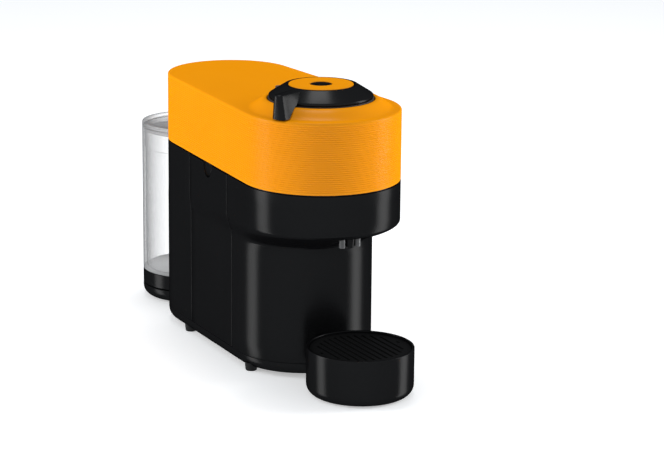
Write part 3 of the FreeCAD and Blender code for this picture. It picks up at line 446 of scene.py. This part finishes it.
def makeStudio():
    world = bpy.data.worlds.new("studio")
    bpy.context.scene.world = world
    world.use_nodes = True
    world.node_tree.nodes["Background"].inputs["Color"].default_value = (0.9, 0.95, 1.0, 1)
    world.node_tree.nodes["Background"].inputs["Strength"].default_value = 0.5
    makeLight("leftBox", -88, 0, 1.5, (0.55, 2.2), 24)
    makeLight("rightBox", 97, 0, 1.5, (0.6, 2.2), 28)
    makeLight("topBox", 180, 76, 1.8, (0.6, 0.6), 8)
    bm = bmesh.new()
    bmesh.ops.create_grid(bm, x_segments=1, y_segments=1, size=6)
    mesh = bpy.data.meshes.new("floor")
    bm.to_mesh(mesh)
    bm.free()
    floor = bpy.data.objects.new("floor", mesh)
    bpy.context.scene.collection.objects.link(floor)
    pale = Finish("floorPale", Roughness=0.9, Specular_IOR_Level=0.1, Emission_Color=rgb(1, 1, 1),
                  Emission_Strength=0.4)
    pale.link(Base_Color=pale.mix(pale.noise(1.5, 2), rgb(0.93, 0.93, 0.93), rgb(0.95, 0.95, 0.95)))
    mesh.materials.append(pale.material)
    # upright walls would mirror the pale floor and look grey
    floor.visible_glossy = False
    scene = bpy.context.scene
    scene.view_settings.view_transform = "Standard"


makeCamera()
makeStudio()
print("camera and studio ready")


# head cover

cover = {"height": 60.5 * mm, "ribPitch": 1.75 * mm, "ribDepth": 0.32 * mm, "edge": 1.8 * mm,
         "wall": 2.5 * mm, "collarOuter": 62 * mm, "collarInner": 46.6 * mm, "collarHeight": 8 * mm,
         "openingRadius": 45.6 * mm, "pocketHalf": 16.4 * mm, "pocketFront": 42 * mm,
         "plainLow": 1.6 * mm, "plainHigh": 2.4 * mm}


def makeCover():
    low, top = seamHigh.z, seamHigh.z + cover["height"]
    wall, edge = cover["wall"], cover["edge"]
    ribbed = top - low - cover["plainLow"] - cover["plainHigh"]
    ribCount = round(ribbed / cover["ribPitch"])
    rows = [(wall, top - wall), (wall, low + 0.3 * mm), (wall - 0.3 * mm, low), (0.5 * mm, low),
            (0.15 * mm, low + 0.15 * mm), (0, low + 0.5 * mm), (0, low + cover["plainLow"])]
    for rib in range(ribCount):
        start = low + cover["plainLow"] + ribbed * rib / ribCount
        for share, depth in ((0.30, 0.0), (0.45, 0.75), (0.60, 1.0), (0.85, 0.75), (1.0, 0.0)):
            rows.append((cover["ribDepth"] * depth, start + share * ribbed / ribCount))
    for k in range(7):
        turn = pi / 2 * k / 6
        rows.append((edge * (1 - cos(turn)), top - edge + edge * sin(turn)))
    rings = []
    for k in range(15):
        share = k / 14
        radius = cover["collarOuter"] + (cover["collarInner"] - cover["collarOuter"]) * share
        rings.append((radius, top + cover["collarHeight"] * share * share * (3 - 2 * share)))
    rings += [(cover["openingRadius"] + 0.3 * mm, top + cover["collarHeight"] - 0.1 * mm),
              (cover["openingRadius"], top + cover["collarHeight"] - 0.5 * mm),
              (cover["openingRadius"], top - wall)]
    axis = Vector((0, brewY))

    def place(column, row):
        if row < len(rows):
            flat = planPoint(headPlan, rows[row][0], column)
            return flat.to_3d() + Vector((0, 0, rows[row][1]))
        radius, height = rings[row - len(rows)]
        ray = planPoint(headPlan, edge, column) - axis
        flat = axis + ray.normalized() * radius
        return Vector((flat.x, flat.y, height))

    bm = wrap(len(rows) + len(rings), place)
    half, front = cover["pocketHalf"], brewY + cover["pocketFront"]
    for side in (-1, 1):
        for inset in (0, 0.15 * mm):
            near = []
            for face in bm.faces:
                middle = face.calc_center_median()
                if middle.y > front - 20 * mm and middle.z > top - 0.1 * mm and abs(middle.x) < 45 * mm:
                    near.append(face)
            geom = near + list({e for f in near for e in f.edges}) + list({v for f in near for v in f.verts})
            bmesh.ops.bisect_plane(bm, geom=geom, dist=1e-7, plane_co=(side * (half - inset), 0, 0),
                                   plane_no=(1, 0, 0))
    for vert in bm.verts:
        if abs(vert.co.x) < half - 0.05 * mm and vert.co.y > front and vert.co.z > top:
            vert.co.z = top
    return finishPiece("headCover", bm, "cover_yellow", "chassis", ["head_cover"], smooth=28)


makeCover()
print("head cover made")


# black housings

shell = {"wall": 2.5 * mm, "seam": 0.3 * mm, "blendTop": 134.5 * mm, "blendLow": 114 * mm,
         "softEdge": 0.45 * mm, "frontLine": 47.6 * mm, "rearLine": 134.3 * mm, "blendRows": 18}


def bodyRows():
    # heights from the base seam up to the cover's seam, with the S-shaped step between them
    low, high = housingLow.z, housingHigh.z
    step = (shell["blendTop"] - shell["blendLow"]) / shell["blendRows"]
    rows = [low, low + 12 * mm, low + 40 * mm, low + 70 * mm, shell["blendLow"] - 8 * mm]
    rows += [shell["blendLow"] + step * k for k in range(shell["blendRows"] + 1)]
    return rows + [shell["blendTop"] + 8 * mm, high - 12 * mm, high]


def bodyPlan(height):
    share = min(1, max(0, (shell["blendTop"] - height) / (shell["blendTop"] - shell["blendLow"])))
    share = share * share * (3 - 2 * share)
    return {key: headPlan[key] + share * (lowerPlan[key] - headPlan[key]) for key in headPlan}


def bodySkin(inset=0.0):
    rows = bodyRows()

    def place(column, row):
        flat = planPoint(bodyPlan(rows[row]), inset, column)
        return Vector((flat.x, flat.y, rows[row]))

    return wrap(len(rows), place)


def cutAway(bm, point, normal):
    # removes what lies on the normal's side of a plane
    everything = bm.verts[:] + bm.edges[:] + bm.faces[:]
    bmesh.ops.bisect_plane(bm, geom=everything, dist=1e-7, plane_co=point, plane_no=normal,
                           clear_outer=True)


def thicken(bm, thickness, softEdge):
    # gives a skin its wall, inwards, and takes the sharpness off its rims
    bmesh.ops.recalc_face_normals(bm, faces=bm.faces)
    outward = sum(f.normal.x * f.calc_center_median().x for f in bm.faces)
    if outward < 0:
        bmesh.ops.reverse_faces(bm, faces=bm.faces)
    bmesh.ops.solidify(bm, geom=bm.faces[:], thickness=thickness)
    bmesh.ops.recalc_face_normals(bm, faces=bm.faces)
    rims = [e for e in bm.edges if len(e.link_faces) == 2 and e.calc_face_angle(0) > radians(55)]
    roundEdges(bm, rims, softEdge, 2)


def makeHousings():
    wall, seam, edge = shell["wall"], shell["seam"], shell["softEdge"]
    frontY, rearLineY = brewY + shell["frontLine"], brewY + shell["rearLine"]

    front = bodySkin()
    cutAway(front, (0, frontY - seam, 0), (0, 1, 0))
    thicken(front, wall, edge)
    outletLow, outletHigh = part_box("coffee_outlet")
    well = boxMesh((outletLow.x - 0.4 * mm, outletLow.y - 0.4 * mm, outletLow.z - 20 * mm),
                   (outletHigh.x + 0.4 * mm, outletHigh.y + 0.4 * mm, outletHigh.z - 6 * mm), 0)
    roundEdges(well, uprightEdges(well), 3 * mm, 5)
    front = combine(front, well, "DIFFERENCE")
    finishPiece("frontHousing", front, "body_black", "chassis", ["front_housing"])

    rear = bodySkin()
    cutAway(rear, (0, rearLineY + seam, 0), (0, -1, 0))
    thicken(rear, wall, edge)
    finishPiece("rearHousing", rear, "body_black", "chassis", ["rear_housing"])

    side = bodySkin()
    cutAway(side, (0, frontY + seam, 0), (0, -1, 0))
    cutAway(side, (0, rearLineY - seam, 0), (0, 1, 0))
    cutAway(side, (0, 0, 0), (-1, 0, 0))
    thicken(side, wall, edge)
    finishPiece("rightSideCover", side, "body_black", "chassis", ["right_side_cover"])


makeHousings()
print("housings made")


# used-capsule container with its side panel

container = {"notchY": 91.5 * mm, "notchHalf": 9.2 * mm, "notchDrop": 12.4 * mm, "notchDeep": 8.5 * mm,
             "binWall": 2 * mm, "binFloor": 17.2 * mm, "binTop": 140 * mm, "binEnd": 41 * mm,
             "panelInner": -53.5 * mm}


def makeContainer():
    seam, edge = shell["seam"], shell["softEdge"]
    frontY, rearLineY = brewY + shell["frontLine"] + seam, brewY + shell["rearLine"] - seam
    panel = bodySkin()
    cutAway(panel, (0, frontY, 0), (0, -1, 0))
    cutAway(panel, (0, rearLineY, 0), (0, 1, 0))
    cutAway(panel, (0, 0, 0), (1, 0, 0))
    cutAway(panel, (0, 0, housingLow.z + seam), (0, 0, -1))
    cutAway(panel, (0, 0, housingHigh.z - seam), (0, 0, 1))
    thicken(panel, shell["wall"], edge)
    middleY, top = brewY + container["notchY"], housingHigh.z - seam
    half, drop = container["notchHalf"], container["notchDrop"]
    lean = asin((headPlan["frontRadius"] - headPlan["rearRadius"]) / (headPlan["rearY"] - headPlan["frontY"]))
    skinX = (middleY - headPlan["frontY"]) * tan(lean) - headPlan["frontRadius"] / cos(lean)
    backing = boxMesh((skinX + 1 * mm, middleY - half - 3 * mm, top - drop - 3 * mm),
                      (skinX + 12 * mm, middleY + half + 3 * mm, top - 0.5 * mm), 0.8 * mm)
    panel = combine(panel, backing, "UNION")
    scoop = bmesh.new()
    bmesh.ops.create_uvsphere(scoop, u_segments=48, v_segments=24, radius=1)
    bmesh.ops.scale(scoop, verts=scoop.verts, vec=(container["notchDeep"], half, drop))
    bmesh.ops.translate(scoop, verts=scoop.verts, vec=(skinX - 0.5 * mm, middleY, top + 0.3 * mm))
    panel = combine(panel, scoop, "DIFFERENCE")

    bin = boxMesh((container["panelInner"], frontY, container["binFloor"]),
                  (container["binEnd"], rearLineY, container["binTop"]))
    roundEdges(bin, [e for e in uprightEdges(bin) if e.verts[0].co.x > 0], 6 * mm, 6)
    tops = [f for f in bin.faces if f.normal.z > 0.9]
    bmesh.ops.delete(bin, geom=tops, context="FACES")
    thicken(bin, container["binWall"], 0.5 * mm)
    finishPiece("capsuleContainer", addInto(panel, bin), "body_black", "container", ["capsule_container"])


makeContainer()
print("container made")


# base, feet and seam

base = {"round": 9 * mm, "rim": 0.4 * mm, "platformLow": 1 * mm, "platformTop": 12.6 * mm,
        "tongueHalf": 11 * mm, "tongueReach": 12 * mm, "tongueLow": 4 * mm, "tongueTop": 7 * mm,
        "footRadius": 5.6 * mm, "footTaper": 0.6 * mm, "footRound": 0.9 * mm}


def quarter(radius, steps=7):
    # how far a round edge has moved in and up, step by step, from the flat to the upright
    turns = [pi / 2 * k / steps for k in range(steps + 1)]
    return [(radius * (1 - sin(turn)), radius * (1 - cos(turn))) for turn in turns]


def makeBase():
    low, top = panLow.z + 2 * mm, housingLow.z
    rows = [(inset, low + rise) for inset, rise in quarter(base["round"])]
    rows += [(0, top - base["rim"]), (base["rim"], top - 0.02 * mm)]

    def place(column, row):
        flat = planPoint(lowerPlan, rows[row][0], column)
        return Vector((flat.x, flat.y, rows[row][1]))

    pan = closeEnds(wrap(len(rows), place))
    foot, head = base["platformLow"], base["platformTop"]
    outline = [(0, foot)] + [(tankRadius - inset, foot + rise) for inset, rise in quarter(base["round"])]
    outline += [(tankRadius, head - 0.5 * mm), (tankRadius - 0.5 * mm, head), (0, head)]
    platform = lathe(outline, 0, tankY, steps=120, closed=False)
    pan = combine(pan, platform, "UNION")
    front = lowerPlan["frontY"] - lowerPlan["frontRadius"]
    tongue = boxMesh((-base["tongueHalf"], front - base["tongueReach"], base["tongueLow"]),
                     (base["tongueHalf"], front + 8 * mm, base["tongueTop"]), 1 * mm)
    pan = combine(pan, tongue, "UNION")
    finishPiece("basePan", pan, "body_black", "chassis", ["base_pan"])


def makeFeet():
    feet = bmesh.new()
    radius, taper, edge = base["footRadius"], base["footTaper"], base["footRound"]
    cornerFeet = [v.co for v in frame["nodes"]["base_feet"].data.vertices if abs(v.co.x) > 40 * mm]
    places = []
    for side in (-1, 1):
        for end in (-1, 1):
            near = [co for co in cornerFeet if co.x * side > 0 and co.y * end > 0 and co.z < 0.2 * mm]
            xs, ys = [co.x for co in near], [co.y for co in near]
            places.append(((min(xs) + max(xs)) / 2, (min(ys) + max(ys)) / 2))
    for x, y in sorted(places):
        foot = [(0, 0), (radius - taper - edge, 0)]
        turns = [k * pi / 10 for k in range(1, 6)]
        foot += [(radius - taper - edge + edge * sin(turn), edge * (1 - cos(turn))) for turn in turns]
        foot += [(radius, base["round"] * 0.8), (0, base["round"] * 0.8)]
        addInto(feet, lathe(foot, x, y, steps=40, closed=False))
    pad = inMillimetres((0, 0), (4.6, 0), (5, 0.3), (5, 1.4), (0, 1.4))
    for x in (-18 * mm, 18 * mm):
        addInto(feet, lathe(pad, x, tankY + 14 * mm, 32, False))
    finishPiece("baseFeet", feet, "rubber", "chassis", ["base_feet"])


def makeSeam():
    rows = [(1.3 * mm, seamLow.z - 0.6 * mm), (1.1 * mm, seamLow.z), (1.1 * mm, seamHigh.z),
            (1.3 * mm, seamHigh.z + 0.4 * mm), (3.2 * mm, seamHigh.z + 0.4 * mm),
            (3.2 * mm, seamLow.z - 0.6 * mm)]

    def place(column, row):
        flat = planPoint(headPlan, rows[row % len(rows)][0], column)
        return Vector((flat.x, flat.y, rows[row % len(rows)][1]))

    finishPiece("headSeam", wrap(len(rows) + 1, place), "body_black", "chassis", ["head_seam"])


makeBase()
makeFeet()
makeSeam()
print("base made")


# lid lever, disc and button

lever = {"angle": radians(-152), "top": 249.45 * mm, "low": 231.2 * mm, "inner": 29 * mm,
         "reach": 60.4 * mm, "lean": 8.6 * mm, "left": -7.4 * mm, "leftSlope": 4.8 * mm, "right": 0.8 * mm,
         "rightSlope": 9.4 * mm, "nose": 3.9 * mm, "topEdge": 1 * mm, "flare": 2.4 * mm}


def paddleOutline(height):
    # the paddle's outline at a level: a bar with a rounded end that leans out and widens as it goes down
    drop = (lever["top"] - height) / (lever["top"] - lever["low"])
    inset = max(0, lever["topEdge"] - (lever["top"] - height))
    inset = lever["topEdge"] - sqrt(lever["topEdge"] ** 2 - inset ** 2)
    reach = lever["reach"] + lever["lean"] * drop - inset
    left = lever["left"] + lever["leftSlope"] * drop + inset
    right = lever["right"] + lever["rightSlope"] * drop - inset
    nose = lever["nose"] - inset
    corners = roundCorners([(lever["inner"], left), (reach, left, nose), (reach, right, nose),
                            (lever["inner"], right)], 8)
    outline = []
    for here, after in zip(corners, corners[1:] + corners[:1]):
        steps = 8 if (after - here).length > 12 * mm else 1
        outline += [here.lerp(after, k / steps) for k in range(steps)]
    for point in outline:
        near = min(1, max(0, (56 * mm - point.x) / (14 * mm)))
        point.y += lever["flare"] * near * near * drop * (1 if point.y > (left + right) / 2 else -1)
    return outline


def makeLever():
    # the cone's outside, its top, then the groove for the disc and the hollow underneath
    outline = roundCorners(inMillimetres(
        (23.6, 239), (44.1, 239, 0.7), (44.1, 241.1, 1.6), (30.6, 249.6, 1.0), (27.75, 249.6, 0.3),
        (27.75, 246.9), (25.4, 246.9), (25.4, 244.5), (28.2, 244.5), (29.2, 246.2), (40, 240.9),
        (26, 240.8), (26, 243.8), (23.6, 243.8)))
    ring = lathe(outline, steps=160)
    top, topEdge, low = lever["top"], lever["topEdge"], lever["low"]
    levels = [top - topEdge * (1 - cos(pi / 2 * k / 4)) for k in range(5)]
    levels += [top - topEdge - (top - topEdge - low) * k / 8 for k in range(1, 9)]
    outlines = [[Vector((point.x, point.y, height)) for point in paddleOutline(height)] for height in levels]
    paddle = closeEnds(wrap(len(levels), lambda column, row: outlines[row][column], len(outlines[0])))
    under = lathe(inMillimetres((0, 225), (61.6, 225), (61.2, 231.25), (49.6, 238.1), (47.5, 239.3),
                                (43.4, 239.5), (41.4, 240.7), (29.4, 246.3), (0, 246.3)),
                  steps=120, closed=False)
    paddle = combine(paddle, under, "DIFFERENCE")
    turn = Matrix.Rotation(lever["angle"], 3, "Z")
    bmesh.ops.rotate(paddle, verts=paddle.verts, cent=(0, 0, 0), matrix=turn)
    whole = combine(ring, paddle, "UNION")
    bmesh.ops.translate(whole, verts=whole.verts, vec=(0, brewY, 0))
    finishPiece("leverRing", whole, "lever_black", "lever", ["lever_ring"], smooth=38)


def makeDisc():
    top = discHigh.z
    outline = roundCorners([(9.6 * mm, 247.3 * mm), (27.3 * mm, 247.3 * mm), (27.3 * mm, top, 0.5 * mm),
                            (10.1 * mm, top, 0.4 * mm), (9.6 * mm, top - 0.7 * mm)])
    disc = lathe(outline, 0, brewY, steps=128)
    hub = lathe(inMillimetres((20, 244), (23, 244), (23, 247.3), (20, 247.3)), 0, brewY, steps=96)
    finishPiece("topDisc", addInto(disc, hub), "cover_yellow", "lid", ["top_disc"])
    outline = inMillimetres((9.55, 245.8), (11.5, 245.8), (11.5, 247.3, 0.3), (9.55, 247.3, 0.3))
    glow = lathe(roundCorners(outline, 3), 0, brewY, steps=96)
    finishPiece("lightRing", glow, "light_white", "lid", ["light_ring"])


def makeButton():
    top = discHigh.z - 0.4 * mm
    outline = roundCorners([(0, 246.9 * mm), (8.2 * mm, 246.9 * mm), (8.2 * mm, 246.2 * mm),
                            (9.2 * mm, 246.2 * mm), (9.2 * mm, top, 0.6 * mm), (7.6 * mm, top),
                            (5.2 * mm, top - 0.35 * mm, 2 * mm), (0, top - 0.45 * mm)])
    button = lathe(outline, 0, brewY, steps=96, closed=False)
    stem = lathe(inMillimetres((0, 241), (2.7, 241), (3, 241.3), (3, 246.9), (0, 246.9)), 0, brewY, 48, False)
    finishPiece("brewButton", addInto(button, stem), "lever_black", "button", ["brew_button"])


makeLever()
makeDisc()
makeButton()
print("lever and button made")


# coffee outlet

def makeOutlet():
    low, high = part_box("coffee_outlet")
    y = (low.y + high.y) / 2
    block = boxMesh((low.x, low.y, 130.5 * mm), (high.x, high.y, 141 * mm))
    roundEdges(block, uprightEdges(block), 2.8 * mm, 5)
    lower = [e for e in block.edges if e.verts[0].co.z < 131 * mm and e.verts[1].co.z < 131 * mm]
    roundEdges(block, lower, 0.8 * mm, 3)
    outline = roundCorners(inMillimetres((2.4, 120.6, 0.3), (3.6, 120.6, 0.3), (4.2, 131), (2.4, 131)), 3)
    addInto(block, lathe(outline, 0, y, 48))
    addInto(block, lathe(inMillimetres((2.4, 141), (5, 141), (5, 146), (2.4, 146)), 0, y, 48))
    finishPiece("coffeeOutlet", block, "body_black", "chassis", ["coffee_outlet"])
    pins = bmesh.new()
    for side in (-1, 1):
        outline = roundCorners(inMillimetres((0, 120.6), (2.6, 120.6, 1.0), (2.6, 134.5), (0, 134.5)), 5)
        addInto(pins, lathe(outline, side * 7.1 * mm, y, 40, False))
    finishPiece("outletPins", pins, "outlet_grey", "chassis", ["outlet_pins"])


makeOutlet()
print("outlet made")


# water tank

tank = {"gap": 1.0 * mm, "corner": 4 * mm, "wall": 2.2 * mm, "low": 13.2 * mm,
        "baseTop": 26.8 * mm, "floorTop": 28.6 * mm, "fillLine": 143.5 * mm, "top": 163.6 * mm,
        "plugLow": 159.5 * mm, "lidTop": 168 * mm}


def tankOutline(inset, steps=56):
    # round at the rear, hollow at the front where it stands against the housing, both corners rounded
    radius, hollow = tankRadius - inset, lowerRearRadius + tank["gap"] + inset
    between = tankY - rearY
    corner = max(tank["corner"] - inset, 0.6 * mm)
    outer, inner = radius - corner, hollow + corner
    along = (between ** 2 + inner ** 2 - outer ** 2) / (2 * between)
    across = sqrt(inner ** 2 - along ** 2)
    centre = Vector((across, rearY + along))
    toOuter = atan2(centre.y - tankY, centre.x)
    toInner = atan2(centre.y - rearY, centre.x)
    points = []
    for k in range(steps + 1):
        turn = toOuter + (pi - 2 * toOuter) * k / steps
        points.append(Vector((radius * cos(turn), tankY + radius * sin(turn))))
    first, last = pi - toOuter, 2 * pi - toInner
    left = Vector((-centre.x, centre.y))
    for k in range(1, 9):
        turn = first + (last - first) * k / 9
        points.append(left + Vector((corner * cos(turn), corner * sin(turn))))
    for k in range(25):
        turn = pi - toInner + (2 * toInner - pi) * k / 24
        points.append(Vector((hollow * cos(turn), rearY + hollow * sin(turn))))
    for k in range(1, 9):
        turn = pi + toInner + (2 * pi + toOuter - pi - toInner) * k / 9
        points.append(centre + Vector((corner * cos(turn), corner * sin(turn))))
    return points


def tankTower(rows):
    outlines = {inset: tankOutline(inset) for inset, height in rows}
    count = len(outlines[rows[0][0]])

    def place(column, row):
        inset, height = rows[row]
        flat = outlines[inset][column]
        return Vector((flat.x, flat.y, height))

    return wrap(len(rows), place, count)


def makeTank():
    wall, edge = tank["wall"], 0.4 * mm
    line, floor, top = tank["fillLine"], tank["floorTop"], tank["top"]
    low, baseTop, lidTop, plugLow = tank["low"], tank["baseTop"], tank["lidTop"], tank["plugLow"]
    rows = [(wall + 1.4 * mm, baseTop + 0.1 * mm), (edge, baseTop + 0.1 * mm), (0, baseTop + 0.5 * mm),
            (0, line), (0, top - edge), (edge, top), (wall - edge, top), (wall, top - edge),
            (wall, line + 0.8 * mm), (wall + 0.8 * mm, line), (wall + 0.8 * mm, floor + 3 * mm),
            (wall + 1.4 * mm, floor + 0.8 * mm), (wall + 2.4 * mm, floor)]
    body = closeEnds(tankTower(rows))
    finishPiece("tankBody", body, "tank_clear", "tank", ["tank_body"])
    rows = [(wall + 2 * mm, low + 0.6 * mm), (edge * 2, low), (0, low + 2 * edge), (0, baseTop - edge),
            (edge, baseTop)]
    finishPiece("tankBase", closeEnds(tankTower(rows)), "body_black", "tank", ["tank_base"])
    rows = [(wall + 2.3 * mm, plugLow), (wall + 0.6 * mm, plugLow), (wall + 0.5 * mm, top),
            (edge, top + 0.1 * mm), (0, top + 0.1 * mm + edge), (0, lidTop - 0.8 * mm),
            (0.3 * mm, lidTop - 0.2 * mm), (0.9 * mm, lidTop), (5.2 * mm, lidTop),
            (5.8 * mm, lidTop - 0.3 * mm), (6.2 * mm, lidTop - 1.8 * mm), (6.8 * mm, lidTop - 2 * mm)]
    lid = closeEnds(tankTower(rows))
    finishPiece("tankLid", lid, "tank_clear", "tank_cap", ["tank_lid"])


makeTank()
print("tank made")


# cup support

tray = {"radius": 45.2 * mm, "wall": 2.2 * mm, "round": 9 * mm, "floor": 8 * mm, "gridTop": 39 * mm,
        "gridDeep": 2.8 * mm, "slotWidth": 2.4 * mm, "slotPitch": 6 * mm, "slotMargin": 6.5 * mm}


def makeTray():
    radius, wall, top = tray["radius"], tray["wall"], trayHigh.z
    seat = tray["gridTop"] - tray["gridDeep"]
    outline = roundCorners([(0, 0), (radius, 0, tray["round"]), (radius, top, 0.8 * mm),
                            (radius - wall, top, 0.6 * mm), (radius - wall, seat),
                            (radius - wall - 2.5 * mm, seat, 0.3 * mm),
                            (radius - wall - 2.5 * mm, tray["floor"], 4 * mm), (0, tray["floor"])], 8)
    body = lathe(outline, 0, trayY, steps=144, closed=False)
    slot = boxMesh((-11.5 * mm, trayY + radius - 14 * mm, 3.5 * mm),
                   (11.5 * mm, trayY + radius + 2 * mm, 7.5 * mm))
    finishPiece("dripTray", combine(body, slot, "DIFFERENCE"), "body_black", "tray", ["drip_tray"])

    gridRadius = radius - wall - 0.4 * mm
    outline = roundCorners([(0, seat), (gridRadius, seat, 0.3 * mm), (gridRadius, tray["gridTop"], 0.5 * mm),
                            (0, tray["gridTop"])], 4)
    grid = lathe(outline, 0, trayY, steps=144, closed=False)
    reach = gridRadius - tray["slotMargin"]
    count = int(reach / tray["slotPitch"])
    slots = bmesh.new()
    for i in range(-count, count + 1):
        x, half = i * tray["slotPitch"], tray["slotWidth"] / 2
        long = sqrt(reach ** 2 - x ** 2)
        cut = boxMesh((x - half, trayY - long, seat - mm), (x + half, trayY + long, tray["gridTop"] + mm))
        roundEdges(cut, uprightEdges(cut), half * 0.98, 4)
        addInto(slots, cut)
    finishPiece("dripGrid", combine(grid, slots, "DIFFERENCE"), "grid_black", "grid", ["drip_grid"])


makeTray()
print("cup support made")


# materials of the pieces that keep their shape
slots = {part["node"]: part["material_slot"] for part in frame["record"]["subparts"]}
for name, node in frame["nodes"].items():
    node.data.materials.clear()
    node.data.materials.append(materials[slots[name]])
